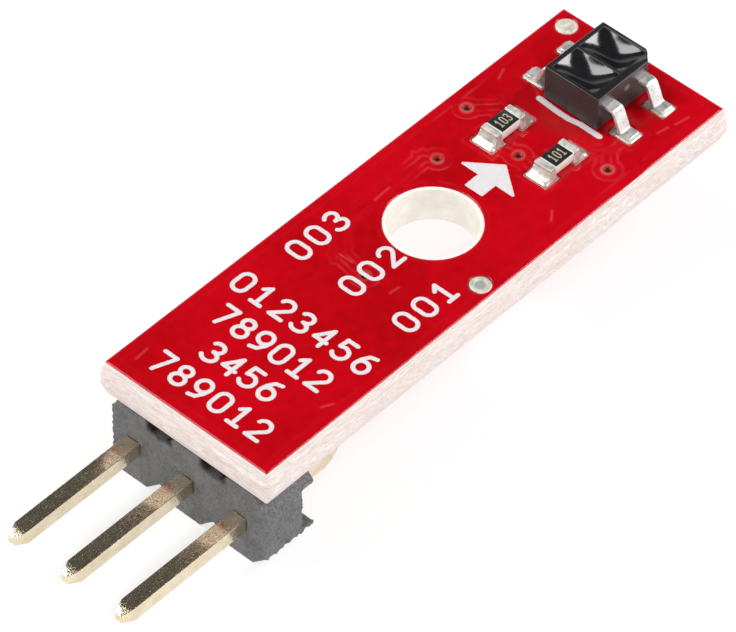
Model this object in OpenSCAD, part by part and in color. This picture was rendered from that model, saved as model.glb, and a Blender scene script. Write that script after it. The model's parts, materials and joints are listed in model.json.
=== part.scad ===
// Reflective line sensor board for a line-following robot.
// Origin: axis of the mounting hole, on the underside of the laminate.
// +X runs to the sensor end, +Y to the signal pin's side, +Z out of the sensor face.

/* [Board] */
// Length of the board, along X
board_l = 24.13; // [23.5:0.01:26]
// Width of the board, along Y
board_w = 7.62; // [7.6:0.01:9]
// Thickness of the bare laminate
board_t = 1.5; // [1.4:0.01:1.6]
// How far the broken web stands out between the two scored bevels
score_web = 0.2; // [0.05:0.01:0.3]
// Distance from the header end of the board to the mounting hole's axis
hole_from_end = 12.7; // [12.5:0.01:13.2]
// Diameter of the mounting hole
hole_d = 3.3; // [3:0.1:3.4]
// Width of the ring around the hole that the solder mask leaves bare
hole_ring = 0.17; // [0.1:0.01:0.25]
// Thickness of the copper foil
copper_t = 0.035; // [0.03:0.005:0.05]
// Thickness of the solder mask on top of the copper
mask_t = 0.025; // [0.02:0.005:0.04]
// Thickness of the white marking ink
ink_t = 0.02; // [0.01:0.005:0.03]

/* [Header] */
// Distance between neighbouring pins
pin_pitch = 2.54; // [2.54]
// Side of the square pins
pin_side = 0.64; // [0.6:0.01:0.66]
// How far the pins reach out beyond the board's end
pin_reach = 6; // [4:0.1:8]
// Height of the header housing
header_h = 3.5; // [3.3:0.05:3.6]
// Depth of the header housing, along X
header_d = 2.4; // [2.3:0.05:2.5]
// Chamfer at each corner of a housing segment
header_chamfer = 0.66; // [0.5:0.01:0.7]
// How much of the last segment was snapped off at the signal pin's side
header_snap = 0.26; // [0:0.01:0.3]
// Depth of the groove along the housing's back
groove_d = 0.55; // [0.4:0.01:0.7]

/* [Optical sensor] */
// Distance from the mounting hole's axis to the sensor's middle
sensor_x = 8.97; // [8.8:0.01:9.1]
// Size of the sensor's housing along X
sensor_l = 3.2; // [3.1:0.01:3.4]
// Size of the sensor's housing along Y
sensor_w = 2.54; // [2.4:0.01:2.7]
// Height of the sensor's housing
sensor_h = 1.5; // [1.45:0.01:1.6]
// Cut at the housing corner that marks the first lead
sensor_chamfer = 0.46; // [0.3:0.01:0.5]
// Distance between the middles of the two windows
window_pitch = 1.5; // [1.48:0.01:1.54]
// Distance between the leads on one side
lead_pitch = 1.86; // [1.8:0.01:1.9]
// Width of a lead
lead_w = 0.54; // [0.4:0.01:0.6]
// Thickness of a lead
lead_t = 0.15; // [0.12:0.01:0.17]

/* [Resistors] */
// Length of a resistor, along X
res_l = 1.6; // [1.5:0.01:1.7]
// Width of a resistor
res_w = 0.8; // [0.75:0.01:0.85]
// Height of a resistor
res_h = 0.45; // [0.4:0.01:0.5]
// Distance from the mounting hole's axis to the middle of the resistors
res_x = 5.17; // [5.1:0.01:5.3]
// Distance from the board's centre line to each resistor
res_y = 1.27; // [1.2:0.01:1.35]
// Digits printed on the pull-up resistor, its value code
pullup_code = "103"; // [103, 102, 104]
// Digits printed on the lamp's series resistor, its value code
series_code = "101"; // [101, 221, 331]

/* [Hidden] */

$fn = 48;
eps = 0.5;                      // overrun of a cutting tool

// Levels above the underside of the laminate
top_z = board_t;
pad_z = top_z + copper_t;       // top of a bare copper pad
skin_z = pad_z + mask_t;        // top of the solder mask

// Board outline
x_head = -hole_from_end;        // header end
x_sense = board_l - hole_from_end;
x_mid = (x_head + x_sense) / 2;
bevel_h = board_t / 3;          // height of one scored bevel
pour_inset = 0.4;               // copper keeps this far from the outline
gap = 0.25;                     // clearance between the pour and other copper
trace_w = 0.3;

// Plated vias: signal, supply and lamp feed-throughs
via_drill = 0.3;
via_ring = 0.6;
vias = [[2.45, 2.0], [5.1, 2.95], [4.55, 0], [6.2, -2.8], [-3.6, 0]];
plated_xy = [-1.13, -3.22];
plated_ring = 0.78;
plated_drill = 0.5;
fiducial_xy = [10.8, 3.13];
fiducial_d = 0.8;

// Resistor pads and bodies
pad_x = res_l / 2 + 0.02;
res_pad = [0.72, 1.0];
cap_l = 0.3;                    // length of an end cap
cap_t = 0.03;                   // thickness of its metal
film_t = 0.02;                  // thickness of the dark overcoat
film_l = 0.92;
res_z = pad_z + 0.04;           // underside of the end caps

// Sensor levels and the section of its leads
sensor_z = top_z + 0.15;        // underside of the housing
sensor_top = sensor_z + sensor_h;
frame_z = top_z + 0.88;         // underside of the lead frame inside
window = [1.38, 2.0];
window_y = 0.08;                // the windows sit off centre
dish_r = 1.05;                  // radius of the hollow in each window
dish_drop = 0.04;               // rim of the hollow below the housing's top
knee_y = 1.52;                  // where a lead starts to turn down, from the centre line
lead_slope = 66;                // how steeply it comes down
lead_toe = 2.45;                // where a lead ends
foot_z = pad_z + 0.015;
sensor_pad = [0.68, 0.92];
sensor_pad_y = 2.08;
die_e = 0.3;                    // side of the lamp's die
die_d = 0.5;                    // side of the detector's die
die_h = 0.1;
wire_r = 0.02;
wire_rise = 0.1;                // height of the bond wire's loop above the die
wire_y = [0.2, -0.48];          // where it stands on the die and on the lead beside it
lead_inner = 0.42;              // inner end of the leads that take a bond wire
wrap = 0.05;                    // how far a side fillet runs round the end of a joint

// Header levels; the housing hangs just below the lower solder mask
house_top = -copper_t - mask_t - 0.02;
house_bot = house_top - header_h;
pin_z = (house_top + house_bot) / 2;
pin_y = [pin_pitch, 0, -pin_pitch];
bend_x = x_head + 3.85;         // where a pin starts to rise behind the housing
bend_in = 0.26;                 // inner radius of the first bend
heel_in = 0.2;                  // inner radius of the second bend
foot_top = -copper_t - 0.015;   // upper face of a pin's foot
foot_end = x_head + 6.1;
header_pad = [2.2, 1.1];
header_pad_x = x_head + 5.55;

// ---- shapes shared by several parts ----

// Points on an arc about c, from angle a0 to angle a1
function arc(c, r, a0, a1, n = 8) =
    [for (i = [0:n]) c + r * [cos(a0 + (a1 - a0) * i / n), sin(a0 + (a1 - a0) * i / n)]];

// Straight bar with square ends between two points
module bar(p, q, w) {
    d = q - p;
    translate(p)
        rotate(atan2(d[1], d[0]))
            translate([-w / 2, -w / 2])
                square([norm(d) + w, w]);
}

// Chain of bars through a list of points
module track(points, w) {
    for (i = [0:len(points) - 2])
        bar(points[i], points[i + 1], w);
}

// Prism along X from a section drawn in Y and Z
module along_x(x0, x1) {
    translate([x0, 0, 0])
        rotate([90, 0, 90])
            linear_extrude(x1 - x0)
                children();
}

// Prism along Y, centred on y, from a section drawn in X and Z
module along_y(y, w) {
    translate([0, y + w / 2, 0])
        rotate([90, 0, 0])
            linear_extrude(w)
                children();
}

// Solder fillet of triangular section, run along X; side is +1 or -1 in Y
module fillet_x(x0, x1, y, z, reach, rise, side) {
    along_x(x0, x1)
        polygon([[y, z], [y + side * reach, z], [y, z + rise]]);
}

// Solder fillet of triangular section, run along Y; side is +1 or -1 in X
module fillet_y(y0, y1, x, z, reach, rise, side) {
    along_y((y0 + y1) / 2, y1 - y0)
        polygon([[x, z], [x + side * reach, z], [x, z + rise]]);
}

// Which of the seven strokes a digit uses: top, upper right, lower right,
// bottom, lower left, upper left, middle
strokes = [
    [1, 1, 1, 1, 1, 1, 0], [0, 1, 1, 0, 0, 0, 0], [1, 1, 0, 1, 1, 0, 1], [1, 1, 1, 1, 0, 0, 1],
    [0, 1, 1, 0, 0, 1, 1], [1, 0, 1, 1, 0, 1, 1], [1, 0, 1, 1, 1, 1, 1], [1, 1, 1, 0, 0, 0, 0],
    [1, 1, 1, 1, 1, 1, 1], [1, 1, 1, 1, 0, 1, 1]
];

// One digit, its lower left corner at the origin
module digit(d, w, h, s) {
    on = strokes[d];
    if (on[0]) translate([0, h - s]) square([w, s]);
    if (on[1]) translate([w - s, h / 2]) square([s, h / 2]);
    if (on[2]) translate([w - s, 0]) square([s, h / 2]);
    if (on[3]) square([w, s]);
    if (on[4]) square([s, h / 2]);
    if (on[5]) translate([0, h / 2]) square([s, h / 2]);
    if (on[6]) translate([0, (h - s) / 2]) square([w, s]);
}

// A row of digits, centred on the origin; a 1 is moved to the middle of its cell
module number(code, step, w, h, s) {
    span = (len(code) - 1) * step + w;
    for (i = [0:len(code) - 1])
        translate([i * step - span / 2 - (code[i] == "1" ? (w - s) / 2 : 0), -h / 2])
            digit(ord(code[i]) - 48, w, h, s);
}

// ---- board ----

module board_2d(inset) {
    translate([x_head + inset, inset - board_w / 2])
        square([board_l - 2 * inset, board_w - 2 * inset]);
}

module drill_holes() {
    translate([0, 0, -eps])
        cylinder(d = hole_d, h = board_t + 2 * eps, $fn = 96);
    for (p = vias)
        translate([p[0], p[1], -eps])
            cylinder(d = via_drill, h = board_t + 2 * eps);
    translate([plated_xy[0], plated_xy[1], -eps])
        cylinder(d = plated_drill, h = board_t + 2 * eps);
}

// Half section of the scored edge: bevel, broken web, bevel
function edge_section(half) = [
    [-half, 0], [half, 0], [half + score_web, bevel_h], [half + score_web, board_t - bevel_h],
    [half, board_t], [-half, board_t], [-half - score_web, board_t - bevel_h],
    [-half - score_web, bevel_h]
];

module laminate() {
    reach = board_l / 2 + score_web;
    color([0.88, 0.80, 0.74])
        difference() {
            intersection() {
                along_x(x_mid - reach, x_mid + reach)
                    polygon(edge_section(board_w / 2));
                translate([x_mid, 0, 0])
                    along_y(0, board_w + 2 * score_web)
                        polygon(edge_section(board_l / 2));
            }
            drill_holes();
        }
}

module at_res_pads() {
    for (sx = [-1, 1], sy = [-1, 1])
        translate([res_x + sx * pad_x, sy * res_y])
            children();
}

module at_sensor_pads() {
    for (sx = [-1, 1], sy = [-1, 1])
        translate([sensor_x + sx * lead_pitch / 2, sy * sensor_pad_y])
            children();
}

module pads_top_2d(grow) {
    at_res_pads()
        square(res_pad + [2 * grow, 2 * grow], center = true);
    at_sensor_pads()
        square(sensor_pad + [2 * grow, 2 * grow], center = true);
}

// Everything on the upper foil that isn't ground
module signals_top_2d(grow) {
    w = trace_w + 2 * grow;
    left_pad = res_x - pad_x;
    right_pad = res_x + pad_x;
    lead_x = sensor_x - lead_pitch / 2;
    for (p = vias)
        translate(p)
            circle(d = via_ring + 2 * grow);
    at_res_pads()
        square(res_pad + [2 * grow, 2 * grow], center = true);
    for (sy = [-1, 1])
        translate([lead_x, sy * sensor_pad_y])
            square(sensor_pad + [2 * grow, 2 * grow], center = true);
    track([vias[4], [-3.4, 1.3], [-2.35, 2.35], [2.1, 2.35], vias[0]], w);
    track([[left_pad, res_y], vias[2], [left_pad, -res_y]], w);
    track([vias[1], [right_pad, 2.1], [right_pad, res_y], [6.8, sensor_pad_y], [lead_x, sensor_pad_y]], w);
    track([[right_pad, -res_y], [6.9, -sensor_pad_y], [lead_x, -sensor_pad_y]], w);
    track([vias[3], [6.9, -sensor_pad_y]], w);
}

module copper_top() {
    color([0.80, 0.50, 0.32])
        translate([0, 0, top_z])
            linear_extrude(copper_t)
                difference() {
                    union() {
                        difference() {
                            board_2d(pour_inset);
                            signals_top_2d(gap);
                            circle(d = hole_d + 2 * hole_ring + 0.4, $fn = 96);
                            translate(fiducial_xy)
                                circle(d = fiducial_d + 0.5);
                            translate(plated_xy)
                                circle(d = plated_ring + 0.02);
                        }
                        signals_top_2d(0);
                    }
                    for (p = vias)
                        translate(p)
                            circle(d = via_drill);
                }
}

module header_pads_2d(grow) {
    for (y = pin_y)
        translate([header_pad_x, y])
            square(header_pad + [2 * grow, 2 * grow], center = true);
}

module signals_bottom_2d(grow) {
    w = trace_w + 2 * grow;
    for (y = [pin_y[0], pin_y[1]])
        translate([header_pad_x, y])
            square(header_pad + [2 * grow, 2 * grow], center = true);
    for (p = vias)
        translate(p)
            circle(d = via_ring + 2 * grow);
    track([[header_pad_x, pin_pitch], [-5.2, 2.95], vias[1]], w);
    track([[header_pad_x, 0], vias[4]], w);
    track([vias[0], [3.2, 1.35], vias[2]], w);
}

module copper_bottom() {
    color([0.80, 0.50, 0.32])
        translate([0, 0, -copper_t])
            linear_extrude(copper_t)
                difference() {
                    union() {
                        difference() {
                            board_2d(pour_inset);
                            signals_bottom_2d(gap);
                            circle(d = hole_d + 2 * hole_ring + 0.4, $fn = 96);
                            translate(plated_xy)
                                circle(d = plated_ring + 0.02);
                        }
                        signals_bottom_2d(0);
                    }
                    for (p = vias)
                        translate(p)
                            circle(d = via_drill);
                }
}

// Openings that both masks share
module mask_drills_2d() {
    circle(d = hole_d + 2 * hole_ring, $fn = 96);
    for (p = vias)
        translate(p)
            circle(d = via_drill);
    translate(plated_xy)
        circle(d = plated_ring + 0.06);
}

module solder_mask_top() {
    color([0.76, 0.02, 0.10])
        translate([0, 0, pad_z])
            linear_extrude(mask_t)
                difference() {
                    board_2d(0);
                    mask_drills_2d();
                    pads_top_2d(0.04);
                    translate(fiducial_xy)
                        circle(d = fiducial_d + 0.06);
                }
}

module solder_mask_bottom() {
    color([0.76, 0.02, 0.10])
        translate([0, 0, -copper_t - mask_t])
            linear_extrude(mask_t)
                difference() {
                    board_2d(0);
                    mask_drills_2d();
                    header_pads_2d(0.04);
                }
}

// Printed marks: a running count of digits, pin numbers, a plain arrow to the
// sensor end, and a bar along the sensor's edge
module board_markings() {
    glyph = [0.72, 1.12, 0.17];
    rows = [["0123456", -6.72], ["789012", -8.36], ["3456", -9.85], ["789012", -11.4]];
    color("white")
        translate([0, 0, skin_z])
            linear_extrude(ink_t) {
                for (row = rows)
                    translate([row[1], 0])
                        rotate(-90)
                            number(row[0], 0.94, glyph[0], glyph[1], glyph[2]);
                for (i = [0:2])
                    translate([-3.27, pin_y[i]])
                        number(["003", "002", "001"][i], 0.96, glyph[0], glyph[1], glyph[2]);
                polygon([[2.12, 0.42], [2.12, -0.42], [2.85, -0.42], [2.85, -1.3],
                         [3.95, 0], [2.85, 1.3], [2.85, 0.42]]);
                translate([sensor_x - sensor_l / 2 - 0.26, -1.62])
                    square([0.24, 3.1]);
            }
}

module via_barrels() {
    color([0.80, 0.50, 0.32])
        for (p = vias)
            translate([p[0], p[1], -copper_t])
                difference() {
                    cylinder(d = via_drill, h = board_t + 2 * copper_t);
                    translate([0, 0, -eps])
                        cylinder(d = via_drill - 0.06, h = board_t + 2 * eps);
                }
}

// Tinned rings on both faces, the barrel, and the solder that fills it
module plated_hole() {
    color([0.78, 0.78, 0.76])
        translate([plated_xy[0], plated_xy[1], 0]) {
            cylinder(d = plated_drill, h = board_t);
            translate([0, 0, board_t])
                cylinder(d = plated_ring, h = copper_t + mask_t);
            translate([0, 0, -copper_t - mask_t])
                cylinder(d = plated_ring, h = copper_t + mask_t);
        }
}

module fiducial_disc() {
    color([0.85, 0.83, 0.76])
        translate([fiducial_xy[0], fiducial_xy[1], top_z])
            cylinder(d = fiducial_d, h = copper_t + mask_t / 2);
}

// ---- header ----

// Chain of three octagons, seen along X
function chain_edge(z, rise) = [
    for (c = [-pin_pitch, 0, pin_pitch])
        each [
            [c - pin_pitch / 2, z + rise],
            [c - pin_pitch / 2 + header_chamfer, z],
            [c + pin_pitch / 2 - header_chamfer, z]
        ]
];

module header_housing() {
    half = 1.5 * pin_pitch;
    low = chain_edge(house_bot, header_chamfer);
    high = chain_edge(house_top, -header_chamfer);
    outline = concat(
        low,
        [[half, house_bot + header_chamfer], [half, house_top - header_chamfer]],
        [for (i = [len(high) - 1:-1:0]) high[i]]
    );
    back = x_head + header_d;
    lip = 0.08;
    color([0.42, 0.43, 0.45])
        difference() {
            along_x(x_head, back)
                polygon(outline);
            translate([back - groove_d, -half - eps, house_bot + header_chamfer + lip])
                cube([groove_d + eps, 2 * half + 2 * eps, header_h - 2 * (header_chamfer + lip)]);
            translate([x_head - eps, half - header_snap, house_bot - eps])
                cube([header_d + 2 * eps, header_snap + eps, header_h + 2 * eps]);
            for (y = pin_y)
                translate([x_head - eps, y - pin_side / 2, pin_z - pin_side / 2])
                    cube([header_d + 2 * eps, pin_side, pin_side]);
        }
}

// Square wire pin: tapered tip, straight shank, rise behind the housing, foot
module pin(y) {
    tip_x = x_head - pin_reach;
    taper_l = 0.5;
    taper_in = 0.16;
    lo = pin_z - pin_side / 2;
    hi = pin_z + pin_side / 2;
    rise_c = [bend_x, hi + bend_in];
    wall_x = bend_x + bend_in + pin_side;
    heel_turn = [wall_x + heel_in, foot_top - pin_side - heel_in];
    side = concat(
        [[tip_x, hi - taper_in], [tip_x, lo + taper_in], [tip_x + taper_l, lo]],
        arc(rise_c, bend_in + pin_side, -90, 0),
        arc(heel_turn, heel_in, 180, 90),
        [[foot_end, foot_top - pin_side], [foot_end, foot_top]],
        arc(heel_turn, heel_in + pin_side, 90, 180),
        arc(rise_c, bend_in, 0, -90),
        [[tip_x + taper_l, hi]]
    );
    half = pin_side / 2;
    plan = [
        [tip_x, half - taper_in], [tip_x + taper_l, half], [foot_end, half],
        [foot_end, -half], [tip_x + taper_l, -half], [tip_x, taper_in - half]
    ];
    color([0.82, 0.74, 0.52])
        intersection() {
            along_y(y, pin_side)
                polygon(side);
            translate([0, y, house_bot])
                linear_extrude(header_h + 1)
                    polygon(plan);
        }
}

module pin_signal() {
    pin(pin_y[0]);
}

module pin_supply() {
    pin(pin_y[1]);
}

module pin_ground() {
    pin(pin_y[2]);
}

// Film under each foot, with fillets up its two sides and its toe
module header_solder() {
    x0 = foot_end - 1.25;
    half = pin_side / 2;
    z = -copper_t;
    color([0.78, 0.78, 0.76])
        for (y = pin_y) {
            translate([x0, y - half, foot_top])
                cube([foot_end - x0, pin_side, z - foot_top]);
            fillet_x(x0, foot_end + wrap, y + half, z, 0.2, -0.42, 1);
            fillet_x(x0, foot_end + wrap, y - half, z, 0.2, -0.42, -1);
            fillet_y(y - half, y + half, foot_end, z, 0.4, -0.45, 1);
        }
}

// ---- optical sensor ----

lead_x = [sensor_x - lead_pitch / 2, sensor_x + lead_pitch / 2];
window_x = [sensor_x - window_pitch / 2, sensor_x + window_pitch / 2];

// Centres of a lead's two bends, which share one inner radius
bend_r = 0.1;
knee_c = [knee_y, frame_z - bend_r];
heel_z = foot_z + lead_t + bend_r;
heel_run = (2 * bend_r + lead_t + (knee_c[1] - heel_z) * cos(lead_slope)) / sin(lead_slope);
heel_c = [knee_y + heel_run, heel_z];

// Side view of a lead that leaves the housing towards +Y
function lead_side(inner) = concat(
    [[inner, frame_z]],
    arc(knee_c, bend_r, 90, 90 - lead_slope, 4),
    arc(heel_c, bend_r + lead_t, 270 - lead_slope, 270, 4),
    [[lead_toe, foot_z], [lead_toe, foot_z + lead_t]],
    arc(heel_c, bend_r, 270, 270 - lead_slope, 4),
    arc(knee_c, bend_r + lead_t, 90 - lead_slope, 90, 4),
    [[inner, frame_z + lead_t]]
);

// One lead; side is +1 or -1 in Y, inner is where it ends inside
module lead(i, side, inner) {
    color([0.82, 0.82, 0.80])
        mirror([0, side < 0 ? 1 : 0, 0])
            along_x(lead_x[i] - lead_w / 2, lead_x[i] + lead_w / 2)
                polygon(lead_side(inner));
}

// Leads with a wide inner end carry a die; the others take its bond wire
module paddle(i) {
    color([0.82, 0.82, 0.80])
        translate([window_x[i] - 0.35, -0.3, frame_z])
            cube([0.7, 0.9, lead_t]);
}

module lead_anode() {
    lead(0, -1, lead_inner);
}

module lead_cathode() {
    lead(0, 1, 0.6);
    paddle(0);
}

module lead_collector() {
    lead(1, 1, 0.6);
    paddle(1);
}

module lead_emitter() {
    lead(1, -1, lead_inner);
}

module window_wells() {
    for (x = window_x)
        translate([x - window[0] / 2, window_y - window[1] / 2, frame_z])
            cube([window[0], window[1], sensor_h]);
}

module sensor_housing() {
    x0 = sensor_x - sensor_l / 2;
    x1 = sensor_x + sensor_l / 2;
    half = sensor_w / 2;
    color([0.16, 0.14, 0.14])
        difference() {
            translate([0, 0, sensor_z])
                linear_extrude(sensor_h)
                    polygon([
                        [x0, -half], [x1 - sensor_chamfer, -half], [x1, sensor_chamfer - half],
                        [x1, half], [x0, half]
                    ]);
            window_wells();
            for (x = lead_x)
                translate([x - lead_w / 2, -sensor_w, frame_z])
                    cube([lead_w, 2 * sensor_w, lead_t]);
        }
}

module emitter_die() {
    color([0.55, 0.45, 0.60])
        translate([window_x[0] - die_e / 2, 0.1, frame_z + lead_t])
            cube([die_e, die_e, die_h]);
}

module detector_die() {
    color([0.25, 0.25, 0.40])
        translate([window_x[1] - die_d / 2, 0.0, frame_z + lead_t])
            cube([die_d, die_d, die_h]);
}

// Low loop of gold wire from the top of a die to the lead beside it
module bond_wire(i) {
    x = (lead_x[i] + window_x[i]) / 2;
    color("gold")
        translate([x, 0, frame_z + lead_t]) {
            translate([0, wire_y[0], die_h])
                cylinder(r = wire_r, h = wire_rise);
            translate([0, wire_y[1], 0])
                cylinder(r = wire_r, h = die_h + wire_rise);
            translate([0, wire_y[0], die_h + wire_rise])
                rotate([90, 0, 0])
                    cylinder(r = wire_r, h = wire_y[0] - wire_y[1]);
            for (y = wire_y)
                translate([0, y, die_h + wire_rise])
                    sphere(r = wire_r);
        }
}

module emitter_bond_wire() {
    bond_wire(0);
}

module detector_bond_wire() {
    bond_wire(1);
}

// Resin in a well, hollowed by a shallow dish
module window_resin(i) {
    rim = sensor_top - dish_drop;
    difference() {
        translate([window_x[i] - window[0] / 2, window_y - window[1] / 2, frame_z])
            cube([window[0], window[1], rim - frame_z]);
        translate([window_x[i], window_y, rim + 0.8])
            sphere(r = dish_r, $fn = 64);
        translate([lead_x[i] - lead_w / 2, -sensor_w, frame_z])
            cube([lead_w, sensor_w - lead_inner, lead_t]);
        translate([lead_x[i] - lead_w / 2, 0.59, frame_z])
            cube([lead_w, sensor_w, lead_t]);
    }
}

module emitter_window() {
    color([0.10, 0.10, 0.12])
        difference() {
            window_resin(0);
            paddle(0);
            emitter_die();
            bond_wire(0);
        }
}

module detector_window() {
    color([0.10, 0.10, 0.12])
        difference() {
            window_resin(1);
            paddle(1);
            detector_die();
            bond_wire(1);
        }
}

// Film under each lead's foot, with fillets at its toe and sides
module sensor_solder() {
    foot_y = heel_c[0];
    half = lead_w / 2;
    color([0.80, 0.80, 0.78])
        for (x = lead_x, side = [-1, 1])
            mirror([0, side < 0 ? 1 : 0, 0]) {
                translate([x - half, foot_y, pad_z])
                    cube([lead_w, lead_toe - foot_y, foot_z - pad_z]);
                fillet_x(x - half, x + half, lead_toe, pad_z, 0.12, 0.17, 1);
                fillet_y(foot_y, lead_toe + wrap, x + half, pad_z, 0.09, 0.16, 1);
                fillet_y(foot_y, lead_toe + wrap, x - half, pad_z, 0.09, 0.16, -1);
            }
}

// ---- resistors ----

// Ceramic core between the metal of the end caps; side is +1 or -1 in Y
module resistor_core(side) {
    color([0.93, 0.92, 0.88])
        translate([res_x - res_l / 2 + cap_t, side * res_y - res_w / 2 + cap_t, res_z + cap_t])
            cube([res_l - 2 * cap_t, res_w - 2 * cap_t, res_h - 2 * cap_t]);
}

// Dark glass overcoat on the resistive film
module resistor_film(side) {
    color([0.12, 0.12, 0.12])
        translate([res_x - film_l / 2, side * res_y - res_w / 2 + cap_t, res_z + res_h - cap_t])
            cube([film_l, res_w - 2 * cap_t, film_t]);
}

// Metal wrapped around both ends of the core
module resistor_end_caps(side) {
    color([0.82, 0.82, 0.80])
        for (end = [-1, 1])
            difference() {
                translate([res_x + end * (res_l - cap_l) / 2 - cap_l / 2,
                           side * res_y - res_w / 2, res_z])
                    cube([cap_l, res_w, res_h]);
                translate([res_x - res_l / 2 + cap_t, side * res_y - res_w / 2 + cap_t,
                           res_z + cap_t])
                    cube([res_l - 2 * cap_t, res_w - 2 * cap_t, res_h - 2 * cap_t]);
            }
}

module resistor_ink(side, code) {
    color([0.85, 0.82, 0.72])
        translate([res_x, side * res_y, res_z + res_h - cap_t + film_t])
            linear_extrude(0.01)
                number(code, 0.23, 0.17, 0.42, 0.045);
}

// Film under each end cap, with a fillet up its end and its sides
module resistor_solder(side) {
    y = side * res_y;
    half = res_w / 2;
    color([0.80, 0.80, 0.78])
        for (end = [-1, 1]) {
            x = res_x + end * res_l / 2;
            inner = x - end * cap_l;
            lo = min(x + end * wrap, inner);
            translate([min(x, inner), y - half, pad_z])
                cube([cap_l, res_w, res_z - pad_z]);
            fillet_y(y - half, y + half, x, pad_z, 0.34, 0.36, end);
            fillet_x(lo, lo + cap_l + wrap, y + half, pad_z, 0.09, 0.2, 1);
            fillet_x(lo, lo + cap_l + wrap, y - half, pad_z, 0.09, 0.2, -1);
        }
}

module pullup_core() {
    resistor_core(1);
}

module pullup_film() {
    resistor_film(1);
}

module pullup_end_caps() {
    resistor_end_caps(1);
}

module pullup_code_ink() {
    resistor_ink(1, pullup_code);
}

module pullup_solder() {
    resistor_solder(1);
}

module series_core() {
    resistor_core(-1);
}

module series_film() {
    resistor_film(-1);
}

module series_end_caps() {
    resistor_end_caps(-1);
}

module series_code_ink() {
    resistor_ink(-1, series_code);
}

module series_solder() {
    resistor_solder(-1);
}

laminate();
copper_top();
copper_bottom();
solder_mask_top();
solder_mask_bottom();
board_markings();
via_barrels();
plated_hole();
fiducial_disc();
header_housing();
pin_signal();
pin_supply();
pin_ground();
header_solder();
sensor_housing();
emitter_window();
detector_window();
emitter_die();
detector_die();
emitter_bond_wire();
detector_bond_wire();
lead_anode();
lead_cathode();
lead_collector();
lead_emitter();
sensor_solder();
pullup_core();
pullup_film();
pullup_end_caps();
pullup_code_ink();
pullup_solder();
series_core();
series_film();
series_end_caps();
series_code_ink();
series_solder();
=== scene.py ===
"""Looks of a reflective line sensor board: detailed meshes, materials, floor, lights and camera.

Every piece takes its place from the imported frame. Lengths in this file are millimetres, and
MM turns them into Blender's metres.
"""

import json
import math

import bmesh
import bpy
import numpy as np
from mathutils import Matrix, Vector, noise


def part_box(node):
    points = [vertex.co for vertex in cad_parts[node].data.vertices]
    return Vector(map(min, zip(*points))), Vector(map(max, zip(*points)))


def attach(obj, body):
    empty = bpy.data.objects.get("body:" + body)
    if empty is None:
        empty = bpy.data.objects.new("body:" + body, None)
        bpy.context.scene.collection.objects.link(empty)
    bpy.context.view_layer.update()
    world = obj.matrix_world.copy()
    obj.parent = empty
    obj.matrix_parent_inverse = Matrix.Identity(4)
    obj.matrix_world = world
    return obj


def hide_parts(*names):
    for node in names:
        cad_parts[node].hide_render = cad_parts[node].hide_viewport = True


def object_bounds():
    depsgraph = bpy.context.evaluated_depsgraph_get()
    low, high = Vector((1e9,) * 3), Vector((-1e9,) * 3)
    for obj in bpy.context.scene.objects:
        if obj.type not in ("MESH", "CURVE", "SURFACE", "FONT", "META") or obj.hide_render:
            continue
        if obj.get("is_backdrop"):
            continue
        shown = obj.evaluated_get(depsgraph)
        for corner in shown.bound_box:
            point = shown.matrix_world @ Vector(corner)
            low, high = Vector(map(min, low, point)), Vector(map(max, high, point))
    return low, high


MM = 0.001
BODY = "root"

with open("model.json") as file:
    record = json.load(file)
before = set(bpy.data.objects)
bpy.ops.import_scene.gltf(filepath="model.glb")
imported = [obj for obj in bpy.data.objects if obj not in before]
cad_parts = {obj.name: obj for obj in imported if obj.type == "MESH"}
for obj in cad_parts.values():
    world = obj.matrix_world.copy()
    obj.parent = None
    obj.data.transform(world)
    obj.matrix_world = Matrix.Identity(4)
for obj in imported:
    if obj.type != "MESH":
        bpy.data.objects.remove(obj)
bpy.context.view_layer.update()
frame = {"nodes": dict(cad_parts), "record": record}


# -------------------------------- places, from the frame

def span(node):
    """Lowest and highest corner of a CAD node, in millimetres."""
    low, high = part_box(node)
    return np.array(low) / MM, np.array(high) / MM


def solids(node):
    """Box of each separate solid of a CAD node, in millimetres, in order of X and then Y."""
    mesh = frame["nodes"][node].data
    co = np.array([v.co for v in mesh.vertices]) / MM
    key = np.round(co, 4)
    _, index = np.unique(key, axis=0, return_inverse=True)
    index = index.ravel()
    parent = list(range(index.max() + 1))

    def root(i):
        while parent[i] != i:
            parent[i] = parent[parent[i]]
            i = parent[i]
        return i

    for polygon in mesh.polygons:
        ids = [index[v] for v in polygon.vertices]
        for other in ids[1:]:
            parent[root(other)] = root(ids[0])
    groups = {}
    for v, i in enumerate(index):
        groups.setdefault(root(i), []).append(v)
    boxes = [(co[g].min(0), co[g].max(0)) for g in groups.values()]
    return sorted(boxes, key=lambda b: (round(b[0][0], 2), round(b[0][1], 2)))


def outline(node, up=1):
    """Plan outline of a flat CAD node: segments round its faces that look up (or down), in mm."""
    mesh = frame["nodes"][node].data
    co = np.array([v.co for v in mesh.vertices]) / MM
    edges = {}
    for polygon in mesh.polygons:
        if polygon.normal.z * up < 0.9:
            continue
        loop = [tuple(np.round(co[v][:2], 4)) for v in polygon.vertices]
        for a, b in zip(loop, loop[1:] + loop[:1]):
            if a == b:
                continue
            key = (min(a, b), max(a, b))
            edges[key] = edges.get(key, 0) + 1
    return np.array([e for e, count in edges.items() if count == 1])


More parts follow.
